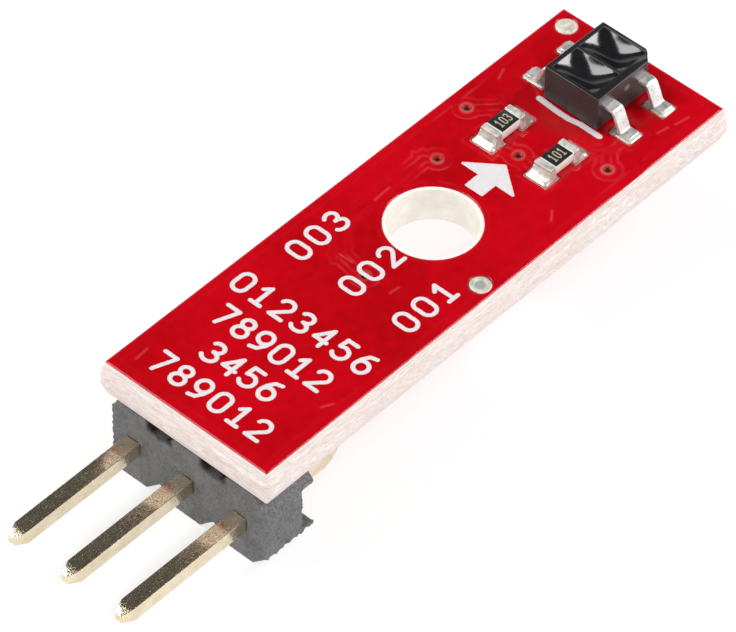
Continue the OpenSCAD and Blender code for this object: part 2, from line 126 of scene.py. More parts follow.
def distance_inside(x, y, segments):
    """Signed distance to an outline, negative inside it, at each point of two equal arrays."""
    flat_x, flat_y = x.ravel(), y.ravel()
    best = np.full(flat_x.size, 1e9)
    inside = np.zeros(flat_x.size, bool)
    for (ax, ay), (bx, by) in segments:
        dx, dy = bx - ax, by - ay
        t = np.clip(((flat_x - ax) * dx + (flat_y - ay) * dy) / (dx * dx + dy * dy), 0, 1)
        near = (flat_x - ax - t * dx) ** 2 + (flat_y - ay - t * dy) ** 2
        best = np.minimum(best, near)
        if ay != by:
            crosses = (flat_y < max(ay, by)) & (flat_y >= min(ay, by))
            inside ^= crosses & (flat_x < ax + (flat_y - ay) * dx / dy)
    return (np.sqrt(best) * np.where(inside, -1, 1)).reshape(x.shape)


board_low, board_high = span("laminate")
BOARD_T = board_high[2]
MASK_LOW, MASK_HIGH = span("solder_mask_top")
SKIN = MASK_HIGH[2]                                # top of the lacquer
PAD = span("copper_top")[1][2]                     # top of bare copper
PAD_UNDER = span("copper_bottom")[0][2]
VIAS = [((lo + hi) / 2)[:2] for lo, hi in solids("via_barrels")]
VIA_R = (solids("via_barrels")[0][1] - solids("via_barrels")[0][0])[0] / 2
HOLE_R = frame["record"]["mounts"][0]["dims"]["r_mm"]
PINS = ("pin_signal", "pin_supply", "pin_ground")
LEADS = ("lead_anode", "lead_cathode", "lead_collector", "lead_emitter")


# -------------------------------- numbers from noise

def wobble(points, scale, seed=0.0, octaves=3):
    """Smooth noise from -1 to 1 at each point; scale is the size of a bump in millimetres."""
    out = np.empty(len(points))
    for i, p in enumerate(points):
        q = Vector((p[0] / scale + seed, p[1] / scale - seed, p[2] / scale + 2 * seed))
        out[i] = noise.fractal(q, 0.8, 2.0, octaves)
    return out


def smooth_step(x, low, high):
    """Rises smoothly from 0 at low to 1 at high."""
    t = np.clip((x - low) / (high - low), 0, 1)
    return t * t * (3 - 2 * t)


# -------------------------------- making pieces

def new_object(name, data):
    """Makes the object of a mesh, light or camera and puts it in the scene."""
    obj = bpy.data.objects.new(name, data)
    bpy.context.scene.collection.objects.link(obj)
    return obj


def finish_mesh(name, mesh, material, node, sharp):
    """Makes the object of a mesh, shades it and lets it take the place of a CAD node."""
    mesh.shade_smooth()
    mesh.set_sharp_from_angle(angle=math.radians(sharp))
    mesh.materials.append(material)
    obj = new_object(name, mesh)
    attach(obj, BODY)
    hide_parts(node)


def set_attribute(mesh, key, values):
    """Keeps one number per point on a mesh, for its material."""
    layer = mesh.attributes.new(key, "FLOAT", "POINT")
    layer.data.foreach_set("value", np.asarray(values, np.float32))


def mesh_data(name, mesh, scale=1.0):
    """Blender mesh from a bmesh, scaled to metres."""
    bmesh.ops.scale(mesh, vec=(scale, scale, scale), verts=mesh.verts)
    data = bpy.data.meshes.new(name)
    mesh.to_mesh(data)
    mesh.free()
    return data


def piece(name, points, faces, material, node, sharp, attributes):
    """A mesh piece from points in millimetres; attributes holds one number per point."""
    mesh = bpy.data.meshes.new(name)
    mesh.from_pydata([tuple(p) for p in points * MM], [], faces)
    mesh.update()
    for key, values in attributes.items():
        set_attribute(mesh, key, values)
    finish_mesh(name, mesh, material, node, sharp)


def plan_cells(field, xs, ys):
    """Marching squares: plan points and polygons that fill the part of a grid below zero."""
    inside = field < 0
    points, number = [], {}

    def corner(i, j):
        if (i, j) not in number:
            number[i, j] = len(points)
            points.append((xs[i], ys[j]))
        return number[i, j]

    def crossing(i, j, k, m):
        key = (i, j, k, m) if (i, j) < (k, m) else (k, m, i, j)
        if key not in number:
            a, b = field[key[0], key[1]], field[key[2], key[3]]
            t = a / (a - b)
            p = np.array([xs[key[0]], ys[key[1]]])
            q = np.array([xs[key[2]], ys[key[3]]])
            number[key] = len(points)
            points.append(tuple(p + t * (q - p)))
        return number[key]

    polygons = []
    some = inside[:-1, :-1] | inside[1:, :-1] | inside[1:, 1:] | inside[:-1, 1:]
    for i, j in zip(*np.nonzero(some)):
        ring = [(i, j), (i + 1, j), (i + 1, j + 1), (i, j + 1)]
        polygon = []
        for a, b in zip(ring, ring[1:] + ring[:1]):
            if inside[a]:
                polygon.append(corner(*a))
            if inside[a] != inside[b]:
                polygon.append(crossing(*a, *b))
        if len(polygon) > 2:
            polygons.append(polygon)
    return np.array(points), polygons


def slab(name, field, xs, ys, base, skin, material, node, sharp, side=1):
    """A closed sheet over the part of a grid where field is below zero.

    skin takes plan coordinates and gives the far face's level and a table of numbers per point.
    The near face is flat, at base. side is -1 where the far face is the lower one."""
    plan, polygons = plan_cells(field, xs, ys)
    count = len(plan)
    far, numbers = skin(*plan.T)
    skins = [np.column_stack([plan, far]), np.column_stack([plan, np.full(count, base)])]
    used = {}
    for polygon in polygons:
        for a, b in zip(polygon, polygon[1:] + polygon[:1]):
            used[a, b] = True
    faces = list(polygons)
    faces += [[v + count for v in reversed(polygon)] for polygon in polygons]
    faces += [[b, a, a + count, b + count] for a, b in used if (b, a) not in used]
    attributes = {key: np.tile(values, 2) for key, values in numbers.items()}
    piece(name, np.vstack(skins[::side]), faces, material, node, sharp, attributes)


def grid_over(low, high, cell, margin=0.1):
    """Evenly spaced grid lines over a plan box, in millimetres."""
    xs = np.arange(low[0] - margin, high[0] + margin + cell, cell)
    ys = np.arange(low[1] - margin, high[1] + margin + cell, cell)
    return xs, ys


def round_edges(node, width):
    """Rounds the edges of a CAD node with modifiers; width in millimetres."""
    weld = node.modifiers.new("weld", "WELD")
    weld.merge_threshold = 0.0005 * MM
    edges = node.modifiers.new("edges", "BEVEL")
    edges.width = width * MM
    edges.segments = 2
    edges.limit_method = "ANGLE"
    edges.angle_limit = math.radians(30)
    node.data.shade_smooth()
    normals = node.modifiers.new("flat_faces", "WEIGHTED_NORMAL")
    normals.mode = "FACE_AREA"
    normals.weight = 100


def from_line(x, y, a, b):
    """Distance in plan from a short line between two points."""
    a, d = np.array(a), np.array(b) - np.array(a)
    t = np.clip(((x - a[0]) * d[0] + (y - a[1]) * d[1]) / max(d @ d, 1e-9), 0, 1)
    return np.hypot(x - a[0] - t * d[0], y - a[1] - t * d[1])


def box_sdf(x, y, centre, half, radius):
    """Signed distance to a plan rectangle with rounded corners."""
    qx = np.abs(x - centre[0]) - half[0] + radius
    qy = np.abs(y - centre[1]) - half[1] + radius
    outside = np.hypot(np.maximum(qx, 0), np.maximum(qy, 0))
    return outside + np.minimum(np.maximum(qx, qy), 0) - radius


# -------------------------------- material nodes

class Look:
    """A node material with one principled shader; helpers add nodes and return sockets."""

    def __init__(self, name, **fixed):
        self.material = bpy.data.materials.new(name)
        self.material.use_nodes = True
        self.tree = self.material.node_tree
        self.shader = self.tree.nodes["Principled BSDF"]
        for key, value in fixed.items():
            self.shader.inputs[key.replace("_", " ")].default_value = value
        place = self.put("ShaderNodeTexCoord", {}, "Object")
        self.mm = self.vector("SCALE", {0: place, "Scale": 1 / MM})

    def put(self, kind, inputs, out=0, **settings):
        """Adds a node, sets or links its inputs, and returns one output."""
        node = self.tree.nodes.new(kind)
        for key, value in settings.items():
            setattr(node, key, value)
        for key, value in inputs.items():
            if isinstance(value, bpy.types.NodeSocket):
                self.tree.links.new(value, node.inputs[key])
            else:
                node.inputs[key].default_value = value
        return node.outputs[out]

    def vector(self, operation, inputs, out=0):
        return self.put("ShaderNodeVectorMath", inputs, out, operation=operation)

    def math(self, operation, a, b=0.0, clamp=False):
        return self.put("ShaderNodeMath", {0: a, 1: b}, 0, operation=operation, use_clamp=clamp)

    def noise(self, size, detail=4, rough=0.55, stretch=(1, 1, 1), shift=0.0):
        """Noise from 0 to 1 whose bumps are about size millimetres, drawn out by stretch."""
        places = self.put("ShaderNodeMapping", {
            "Vector": self.mm,
            "Scale": tuple(1 / (size * s) for s in stretch),
            "Location": (shift, -shift, shift / 2),
        })
        return self.put("ShaderNodeTexNoise", {
            "Vector": places, "Scale": 1.0, "Detail": detail, "Roughness": rough,
        })

    def fit(self, value, low, high, to_low=0.0, to_high=1.0):
        """Moves a value's range, held at its ends."""
        return self.put("ShaderNodeMapRange", {
            "Value": value, "From Min": low, "From Max": high, "To Min": to_low, "To Max": to_high,
        })

    def ramp(self, value, *stops):
        node = self.tree.nodes.new("ShaderNodeValToRGB")
        set_ramp(node, stops)
        self.tree.links.new(value, node.inputs[0])
        return node.outputs[0]

    def mix(self, amount, a, b):
        """Blends two colours; each may be a socket or three numbers."""
        a, b = ((*colour, 1) if isinstance(colour, tuple) else colour for colour in (a, b))
        return self.put("ShaderNodeMix", {0: amount, 6: a, 7: b}, 2, data_type="RGBA")

    def attribute(self, name):
        return self.put("ShaderNodeAttribute", {}, "Fac", attribute_name=name)

    def axis(self, letter):
        return self.put("ShaderNodeSeparateXYZ", {0: self.mm}, letter)

    def bump(self, height, depth, strength=1.0, after=None):
        """Bump of the given depth in millimetres."""
        inputs = {"Height": height, "Distance": depth * MM, "Strength": strength}
        if after is not None:
            inputs["Normal"] = after
        return self.put("ShaderNodeBump", inputs)

    def done(self, colour=None, roughness=None, normal=None):
        for key, value in (("Base Color", colour), ("Roughness", roughness), ("Normal", normal)):
            if isinstance(value, bpy.types.NodeSocket):
                self.tree.links.new(value, self.shader.inputs[key])
        return self.material


def set_ramp(node, stops):
    """Puts stops, each a place and three numbers, on a colour ramp."""
    elements = node.color_ramp.elements
    while len(elements) < len(stops):
        elements.new(0.5)
    for element, (place, colour) in zip(elements, stops):
        element.position = place
        element.color = (*colour, 1)


def shade(r, g, b):
    """Linear colour from a screen colour, 0 to 255."""
    return tuple(((c / 255 + 0.055) / 1.055) ** 2.4 if c > 10 else c / 255 / 12.92 for c in (r, g, b))


def lacquer(name):
    """Red solder lacquer: deeper over foil, thin and pale on the lips of tracks and vias, that paleness
    partly real thin lacquer and partly painted highlight; painted shade in the dimples over closed vias.
    """
    look = Look(name, IOR=1.5, Specular_IOR_Level=0.22)
    broad = look.noise(4.0, 3)
    mottle = look.noise(0.45, 4, shift=3.0)
    grain = look.noise(0.07, 2, shift=8.0)
    tone = look.math("ADD", look.math("MULTIPLY", broad, 0.6), look.math("MULTIPLY", mottle, 0.4))
    over_foil = look.ramp(
        tone, (0.38, shade(166, 0, 9)), (0.5, shade(179, 0, 13)), (0.62, shade(190, 0, 18)))
    bare = look.ramp(tone, (0.38, shade(172, 0, 12)), (0.62, shade(192, 2, 22)))
    colour = look.mix(look.attribute("foil"), bare, over_foil)
    thin = look.attribute("thin")
    colour = look.mix(look.math("MULTIPLY", thin, 0.45), colour, shade(204, 34, 30))
    # lips of tracks and vias lightened: partly real thin lacquer, partly painted highlight of their
    # relief
    colour = look.mix(look.math("MULTIPLY", look.attribute("edge"), 0.3), colour, shade(214, 74, 88))
    colour = look.mix(look.attribute("ring"), colour, shade(196, 112, 104))
    # painted shade: the dimple over each closed via darkened as the hole under it would be shaded
    colour = look.mix(look.attribute("pit"), colour, shade(84, 26, 26))
    colour = look.mix(look.attribute("scratch"), colour, shade(226, 96, 108))
    roughness = look.fit(grain, 0.3, 0.7, 0.17, 0.24)
    normal = look.bump(mottle, 0.004, 0.8)
    return look.done(colour, roughness, normal)


def board_edge(name):
    """Snapped glass-fibre laminate: pale resin, fine streaks of fibre along the board."""
    look = Look(name, IOR=1.52, Specular_IOR_Level=0.3)
    fibre = look.noise(0.05, 4, 0.65, stretch=(9, 9, 0.8))
    layers = look.noise(0.1, 3, 0.6, stretch=(40, 40, 0.9), shift=5.0)
    dust = look.noise(0.05, 4, 0.7, shift=9.0)
    pink = look.noise(0.5, 4, 0.6, stretch=(3, 3, 0.5), shift=2.5)
    colour = look.ramp(
        fibre, (0.30, shade(200, 184, 178)), (0.47, shade(229, 218, 213)), (0.64, shade(247, 241, 238)))
    colour = look.mix(look.fit(layers, 0.38, 0.66, 0.0, 0.55), colour, shade(208, 188, 180))
    colour = look.mix(look.fit(pink, 0.45, 0.7, 0.0, 0.4), colour, shade(232, 194, 194))
    colour = look.mix(look.fit(dust, 0.54, 0.7, 0.0, 0.75), colour, shade(248, 243, 240))
    wall = look.ramp(
        look.noise(0.6, 3, shift=7.0), (0.3, shade(234, 231, 220)), (0.7, shade(248, 246, 238)))
    colour = look.mix(look.math("MULTIPLY", look.attribute("drilled"), 0.85), colour, wall)
    roughness = look.fit(dust, 0.3, 0.7, 0.55, 0.85)
    normal = look.bump(dust, 0.012, 0.8, look.bump(fibre, 0.015, 0.8))
    return look.done(colour, roughness, normal)


def printed_ink(name, light, dark):
    """Printed ink, thinner and toned by what is below it towards the edges of a stroke."""
    look = Look(name, IOR=1.45, Specular_IOR_Level=0.35)
    thin = look.attribute("edge")
    cloud = look.noise(0.12, 3)
    colour = look.mix(look.fit(cloud, 0.3, 0.7, 0.0, 0.35), light, dark)
    colour = look.mix(look.math("MULTIPLY", thin, 0.45), colour, dark)
    grain = look.noise(0.035, 3, shift=4.0)
    roughness = look.fit(grain, 0.3, 0.7, 0.5, 0.7)
    normal = look.bump(grain, 0.004, 0.8)
    return look.done(colour, roughness, normal)


def tin(name, low, high, ridge, tone, metallic):
    """Tinned metal or solder: softly rippled, with duller patches; an oxide film takes off its shine."""
    look = Look(name, Metallic=metallic)
    patches = look.noise(0.22, 4, shift=1.0)
    ripple = look.noise(0.14, 3, shift=6.0)
    grain = look.noise(0.03, 3, shift=9.0)
    r, g, b = tone
    dark, light = shade(r - 26, g - 26, b - 26), shade(r + 18, g + 18, b + 18)
    colour = look.ramp(patches, (0.3, dark), (0.62, light))
    colour = look.mix(look.attribute("core"), colour, shade(148, 152, 154))
    roughness = look.fit(patches, 0.32, 0.68, low, high)
    normal = look.bump(grain, 0.2 * ridge, 0.6, look.bump(ripple, ridge, 0.8))
    return look.done(colour, roughness, normal)


def copper(name):
    look = Look(name, Metallic=1.0)
    patches = look.noise(0.3, 4)
    colour = look.ramp(patches, (0.3, shade(184, 112, 78)), (0.7, shade(220, 150, 110)))
    roughness = look.fit(patches, 0.3, 0.7, 0.3, 0.5)
    return look.done(colour, roughness, look.bump(look.noise(0.05, 3), 0.004, 0.7))


def header_plastic(name):
    """Dull glass-filled moulding, scuffed pale where it was cut and rubbed, with painted shade high up
    between the segments, under the board.
    """
    look = Look(name, IOR=1.48, Specular_IOR_Level=0.28)
    cut = look.attribute("cut")
    cloud = look.noise(0.7, 4)
    grain = look.noise(0.06, 4, 0.7, shift=3.0)
    fibre = look.noise(0.12, 4, 0.7, stretch=(0.35, 0.35, 3.0), shift=7.0)
    colour = look.ramp(
        cloud, (0.3, shade(88, 88, 89)), (0.5, shade(100, 100, 101)), (0.7, shade(111, 110, 110)))
    pores = look.noise(0.14, 4, 0.7, shift=16.0)
    colour = look.mix(look.fit(pores, 0.5, 0.36, 0.0, 0.6), colour, shade(62, 62, 63))
    colour = look.mix(look.fit(grain, 0.48, 0.64, 0.0, 0.55), colour, shade(136, 136, 137))
    scuffs = look.math("MULTIPLY", look.fit(fibre, 0.5, 0.72), cut, clamp=True)
    colour = look.mix(scuffs, colour, shade(168, 170, 176))
    warm = look.fit(look.noise(0.35, 3, shift=12.0), 0.55, 0.75, 0.0, 0.35)
    colour = look.mix(warm, colour, shade(116, 108, 108))
    # painted shade: near-black red-brown where the board shades the joints between segments
    colour = look.mix(look.attribute("painted_nook_shade"), colour, shade(30, 18, 20))
    roughness = look.fit(grain, 0.3, 0.7, 0.5, 0.78)
    normal = look.bump(fibre, 0.018, 0.5, look.bump(grain, 0.012, 0.8))
    return look.done(colour, roughness, normal)


def gold_wire(name):
    """Thin pale gold over brass wire, bright, with a fine grain of pits."""
    look = Look(name, Metallic=1.0)
    drawn = look.noise(0.07, 4, 0.6, stretch=(5, 1, 1))
    patches = look.noise(0.5, 3, shift=4.0)
    pits = look.fit(look.noise(0.035, 3, 0.7, stretch=(1.5, 1, 1), shift=9.0), 0.5, 0.72)
    colour = look.ramp(patches, (0.3, shade(228, 211, 180)), (0.7, shade(240, 228, 202)))
    colour = look.mix(look.math("MULTIPLY", pits, 0.5), colour, shade(160, 142, 104))
    roughness = look.math("ADD", look.fit(drawn, 0.3, 0.7, 0.07, 0.15), look.math("MULTIPLY", pits, 0.3))
    normal = look.bump(pits, 0.003, 0.7, look.bump(drawn, 0.0012, 0.6))
    return look.done(colour, roughness, normal)


def sensor_plastic(name):
    """Black epoxy moulding: the top faces painted darker and the brown-black sides left lighter, as
    painted shade and light, with a painted highlight on the sloped edges and a paler foot.
    """
    look = Look(name, IOR=1.5, Specular_IOR_Level=0.4)
    low, high = span("sensor_housing")
    cloud = look.noise(0.6, 4)
    grain = look.noise(0.04, 4, 0.65, shift=5.0)
    colour = look.ramp(cloud, (0.3, shade(40, 36, 36)), (0.7, shade(53, 48, 48)))
    dusty = look.fit(look.axis("Z"), low[2] + 0.5, low[2] + 0.2, 0.0, 0.55)
    dusty = look.math("MULTIPLY", dusty, look.fit(look.noise(0.25, 4, shift=4.0), 0.42, 0.58))
    colour = look.mix(dusty, colour, shade(70, 74, 74))
    colour = look.mix(look.fit(grain, 0.55, 0.75, 0.0, 0.4), colour, shade(88, 80, 80))
    mark = ((low[0] + high[0]) / 2, low[1], high[2] - 0.5)   # round gate mark on one side
    away = look.vector("LENGTH", {0: look.vector("SUBTRACT", {0: look.mm, 1: mark})}, "Value")
    colour = look.mix(look.fit(away, 0.17, 0.11, 0.0, 0.8), colour, shade(126, 118, 108))
    # painted shade: faces that look up are darkened, so the sides read lighter as if lit from the side
    level = look.put("ShaderNodeSeparateXYZ", {0: look.put("ShaderNodeTexCoord", {}, "Normal")}, "Z")
    colour = look.mix(look.fit(level, 0.8, 0.97), colour, shade(26, 25, 27))
    # painted highlight: faces sloped like the rounded edges are lightened
    from_slope = look.math("ABSOLUTE", look.math("SUBTRACT", level, 0.45))
    colour = look.mix(look.fit(from_slope, 0.4, 0.2, 0.0, 0.6), colour, shade(108, 100, 102))
    roughness = look.fit(grain, 0.3, 0.7, 0.3, 0.42)
    normal = look.bump(grain, 0.005, 0.8)
    return look.done(colour, roughness, normal)


def window_resin(name):
    """Dark, clear-looking resin with a polished surface."""
    look = Look(name, IOR=1.55, Specular_IOR_Level=0.5)
    cloud = look.noise(0.5, 3)
    ripple = look.noise(0.5, 3, shift=2.0)
    colour = look.ramp(cloud, (0.3, shade(16, 15, 17)), (0.7, shade(28, 27, 30)))
    roughness = look.fit(look.noise(0.12, 3, shift=8.0), 0.3, 0.7, 0.12, 0.18)
    return look.done(colour, roughness, look.bump(ripple, 0.006, 0.6))


def ceramic(name):
    look = Look(name, IOR=1.6)
    cloud = look.noise(0.2, 4)
    grain = look.noise(0.03, 3, shift=5.0)
    colour = look.ramp(cloud, (0.3, shade(226, 224, 214)), (0.7, shade(242, 241, 234)))
    roughness = look.fit(grain, 0.3, 0.7, 0.45, 0.65)
    return look.done(colour, roughness, look.bump(grain, 0.005, 0.8))


def black_glaze(name):
    look = Look(name, IOR=1.5)
    cloud = look.noise(0.15, 4)
    colour = look.ramp(cloud, (0.3, shade(20, 21, 22)), (0.7, shade(40, 41, 42)))
    roughness = look.fit(look.noise(0.06, 3, shift=3.0), 0.3, 0.7, 0.22, 0.4)
    return look.done(colour, roughness, look.bump(look.noise(0.1, 3, shift=6.0), 0.006, 0.6))


def chip(name, base, other):
    look = Look(name, Metallic=0.3)
    lines = look.noise(0.05, 2)
    colour = look.ramp(lines, (0.4, shade(*base)), (0.6, shade(*other)))
    return look.done(colour, look.fit(lines, 0.3, 0.7, 0.15, 0.35), None)


RED = lacquer("red_lacquer")
EDGE = board_edge("snapped_laminate")
INK = printed_ink("white_ink", shade(220, 219, 221), shade(206, 182, 186))
CODE = printed_ink("cream_ink", shade(196, 184, 158), shade(140, 128, 108))
SOLDER = tin("solder", 0.36, 0.55, 0.016, (208, 206, 198), 0.75)
LEAD = tin("bright_tin", 0.26, 0.42, 0.002, (236, 236, 233), 0.72)
CAP = tin("end_cap_tin", 0.45, 0.65, 0.012, (206, 204, 196), 0.55)
PALE_TIN = tin("levelled_tin", 0.45, 0.6, 0.006, (218, 214, 198), 0.35)
COPPER = copper("copper_foil")
HEADER = header_plastic("header_moulding")
GOLD = gold_wire("gold_wire")
BLACK = sensor_plastic("sensor_moulding")
RESIN = window_resin("window_resin")
CERAMIC = ceramic("alumina")
GLAZE = black_glaze("black_glaze")
LAMP_CHIP = chip("lamp_chip", (120, 100, 130), (160, 140, 170))
SENSE_CHIP = chip("detector_chip", (60, 62, 100), (90, 92, 140))


# -------------------------------- board

def tube_sides(first, size, levels):
    """Neighbouring point numbers round each of a stack of rings, but for its last ring."""
    starts = range(first, first + size * (levels - 1), size)
    return [(start + k, start + (k + 1) % size) for start in starts for k in range(size)]


def laminate_body():
    """The board with its scored, snapped edges and the drilled hole."""
    web = -board_low[1] - MASK_HIGH[1]             # how far the broken web stands out
    low, high = MASK_LOW[:2], MASK_HIGH[:2]        # outline of the flat faces
    step = 0.07                                    # between points along the rim
    levels = np.linspace(0, BOARD_T, 21)
    corner_r = 0.06
    path = []
    corners = (high[0], high[1]), (low[0], high[1]), (low[0], low[1]), (high[0], low[1])
    for (x, y), turn in zip(corners, (0, 90, 180, 270)):
        cx = x - math.copysign(corner_r, x)
        cy = y - math.copysign(corner_r, y)
        for a in np.linspace(turn, turn + 90, 4):
            out = np.array([math.cos(math.radians(a)), math.sin(math.radians(a))])
            path.append((cx + corner_r * out[0], cy + corner_r * out[1], *out))
    ring = []
    for a, b in zip(path, path[1:] + path[:1]):
        a, b = np.array(a), np.array(b)
        count = max(1, int(np.hypot(*(b - a)[:2]) / step))
        ring += [a + (b - a) * k / count for k in range(count)]
    ring = np.array(ring)
    score = BOARD_T / 3
    points = []
    for z in levels:
        depth = min(z, BOARD_T - z)
        bulge = web * min(1, depth / score)
        flat = np.column_stack([ring[:, :2] + ring[:, 2:] * bulge, np.full(len(ring), z)])
        rough = wobble(flat, 0.3, 1.0) * 0.045 + wobble(flat, 0.08, 5.0) * 0.04
        crush = wobble(flat * [1, 1, 0.2], 0.5, 9.0) * 0.02
        amount = smooth_step(depth, score * 0.55, score * 1.1)
        fine = wobble(flat, 0.12, 3.0) * 0.012 * smooth_step(depth, 0, 0.1)
        move = rough * amount + crush * amount + fine
        flat[:, :2] += ring[:, 2:] * np.minimum(move, 0.08)[:, None]
        points.append(flat)
    count, turns = len(ring), 96
    hole_levels = np.linspace(0, BOARD_T, 9)
    base = count * len(levels)
    for z in hole_levels:
        a = np.linspace(0, 2 * math.pi, turns, endpoint=False)
        flat = np.column_stack([HOLE_R * np.cos(a), HOLE_R * np.sin(a), np.full(turns, z)])
        flare = 0.015 * smooth_step(abs(z - BOARD_T / 2), BOARD_T / 2 - 0.08, BOARD_T / 2)
        wave = wobble(flat, 0.25, 4.0) * 0.006
        flat[:, :2] *= (1 + (flare + wave) / HOLE_R)[:, None]
        points.append(flat)
    mesh = bmesh.new()
    verts = [mesh.verts.new(p) for p in np.vstack(points)]
    for first, size, stacked in ((0, count, levels), (base, turns, hole_levels)):
        for a, b in tube_sides(first, size, len(stacked)):
            mesh.faces.new([verts[v] for v in (a, b, b + size, a + size)])
    last_rim, last_hole = (len(levels) - 1) * count, base + (len(hole_levels) - 1) * turns
    for rim, hole in ((0, base), (last_rim, last_hole)):
        loop = [verts[rim + k] for k in range(count)]
        inner = [verts[hole + k] for k in range(turns)]
        edges = [mesh.edges.get((loop[k], loop[(k + 1) % count])) for k in range(count)]
        edges += [mesh.edges.get((inner[k], inner[(k + 1) % turns])) for k in range(turns)]
        bmesh.ops.triangle_fill(mesh, use_beauty=True, use_dissolve=False, edges=edges)
    bmesh.ops.recalc_face_normals(mesh, faces=mesh.faces)
    data = mesh_data("laminate_body", mesh, MM)
    near = [math.hypot(v.co.x, v.co.y) < (HOLE_R + 0.3) * MM for v in data.vertices]
    set_attribute(data, "drilled", near)
    finish_mesh("laminate_body", data, EDGE, "laminate", 50)


# Short scratches and dust fibres in the lacquer, each from one plan point to another
SCRATCHES = [((8.8, -2.9), (9.3, -3.0)), ((9.6, -3.1), (10.2, -3.2)), ((-0.6, 2.25), (0.2, 2.28)),
             ((-3.4, 0.75), (-3.42, 1.35)), ((-3.6, -1.2), (-3.2, -1.25)), ((7.0, 3.1), (7.5, 3.3)),
             ((2.9, -3.0), (3.3, -2.7)), ((-9.2, -3.1), (-8.8, -3.3)), ((-11.9, 3.1), (-11.3, 3.15))]


def lacquer_sheet(name, node, foil_node, side, cell, inset):
    """Solder lacquer over the foil: it closes the vias and follows the edges of the tracks."""
    low, high = span(node)
    around = [e for e in outline(node, side)
              if min(np.hypot(*(e[0] - v)) for v in VIAS) > 2 * VIA_R]
    foil_outline = outline(foil_node, side)
    xs = np.linspace(low[0] - cell / 2, high[0] + cell / 2, int((high[0] - low[0]) / cell) + 2)
    ys = np.linspace(low[1] - cell / 2, high[1] + cell / 2, int((high[1] - low[1]) / cell) + 2)
    gx, gy = np.meshgrid(xs, ys, indexing="ij")
    field = distance_inside(gx, gy, around) + inset
    face, back = (high[2], BOARD_T) if side > 0 else (low[2], 0.0)
    lip_w, ring_r, ring_w = 0.045, 0.22, 0.05      # lip along a track, raised ring round a via
    sink_by, pit_by, ring_by = 0.022, 0.045, 0.01  # drop beside foil and over a via, rise of a ring

    def skin(x, y):
        to_foil = distance_inside(x, y, foil_outline)
        to_via = np.min([np.hypot(x - v[0], y - v[1]) for v in VIAS], 0)
        uneven = wobble(np.column_stack([x, y, x * 0]), 0.8, 2.0, 2)
        relief = 0.12 + 0.88 * (1 - smooth_step(to_via, 0.9, 1.6))
        foil = 1 - smooth_step(to_foil, -0.04, 0.05)
        # colour only: the lips' paleness, partly real thin lacquer and partly painted highlight
        lip_thinning_and_highlight = np.exp(-(to_foil / lip_w) ** 2) * np.clip(0.5 + uneven, 0, 1) * relief * (to_via > 0.36)
        ring = np.exp(-((to_via - ring_r) / ring_w) ** 2)
        bald = np.exp(-((x - 6.7) / 0.5) ** 2 - (y / 1.1) ** 2)
        scratch = np.zeros(len(x))
        for a, b in SCRATCHES if side > 0 else ():
            scratch = np.maximum(scratch, 0.3 * np.exp(-(from_line(x, y, a, b) / 0.04) ** 2))
        rim = smooth_step(-distance_inside(x, y, around) - inset, -0.01, 0.06)
        sink = sink_by * relief * (1 - foil)
        dip = pit_by * np.exp(-(to_via / 0.12) ** 2) - ring_by * ring
        full = face - side * (sink + dip)
        return back + (full - back) * (0.3 + 0.7 * rim), {
            "foil": foil, "edge": lip_thinning_and_highlight, "scratch": scratch,
            "ring": ring * np.clip(0.45 + 0.5 * uneven, 0, 1),
            # painted shade in the dimple over each closed via
            "pit": 1 - smooth_step(to_via, 0.1, 0.17),
            "thin": bald * np.clip(0.8 + uneven, 0, 1),
        }

    slab(name, field, xs, ys, back, skin, RED, node, 50, side)


# -------------------------------- printed marks

def arc(cx, cy, rx, ry, start, stop, step=15):
    """Points along part of an ellipse, angles in degrees."""
    count = max(2, int(abs(stop - start) / step) + 1)
    return [(cx + rx * math.cos(math.radians(a)), cy + ry * math.sin(math.radians(a)))
            for a in np.linspace(start, stop, count)]


# Centre lines of the digits in a unit box, drawn like a plotter font
DIGITS = {
    "0": [arc(0.5, 0.7, 0.5, 0.3, 0, 180) + arc(0.5, 0.3, 0.5, 0.3, 180, 360) + [(1, 0.7)]],
    "1": [[(0.12, 0.76), (0.52, 1), (0.52, 0)], [(0.12, 0), (0.92, 0)]],
    "2": [arc(0.5, 0.72, 0.48, 0.28, 165, -30) + [(0, 0), (1, 0)]],
    "3": [arc(0.44, 0.76, 0.46, 0.24, 150, -90) + arc(0.44, 0.26, 0.54, 0.26, 90, -155)],
    "4": [[(0.76, 0), (0.76, 1), (0, 0.3), (1, 0.3)]],
    "5": [[(0.94, 1), (0.14, 1), (0.08, 0.58)] + arc(0.46, 0.32, 0.54, 0.32, 125, -150)],
    "6": [arc(0.5, 0.31, 0.5, 0.31, 180, 540) + [(0.1, 0.62), (0.4, 0.92), (0.86, 1)]],
    "7": [[(0, 1), (1, 1), (0.36, 0)]],
    "8": [arc(0.5, 0.77, 0.42, 0.23, -90, 270) + arc(0.5, 0.27, 0.5, 0.27, 90, 450)],
    "9": [arc(0.5, 0.69, 0.5, 0.31, 0, 360) + [(0.9, 0.38), (0.6, 0.08), (0.14, 0)]],
}


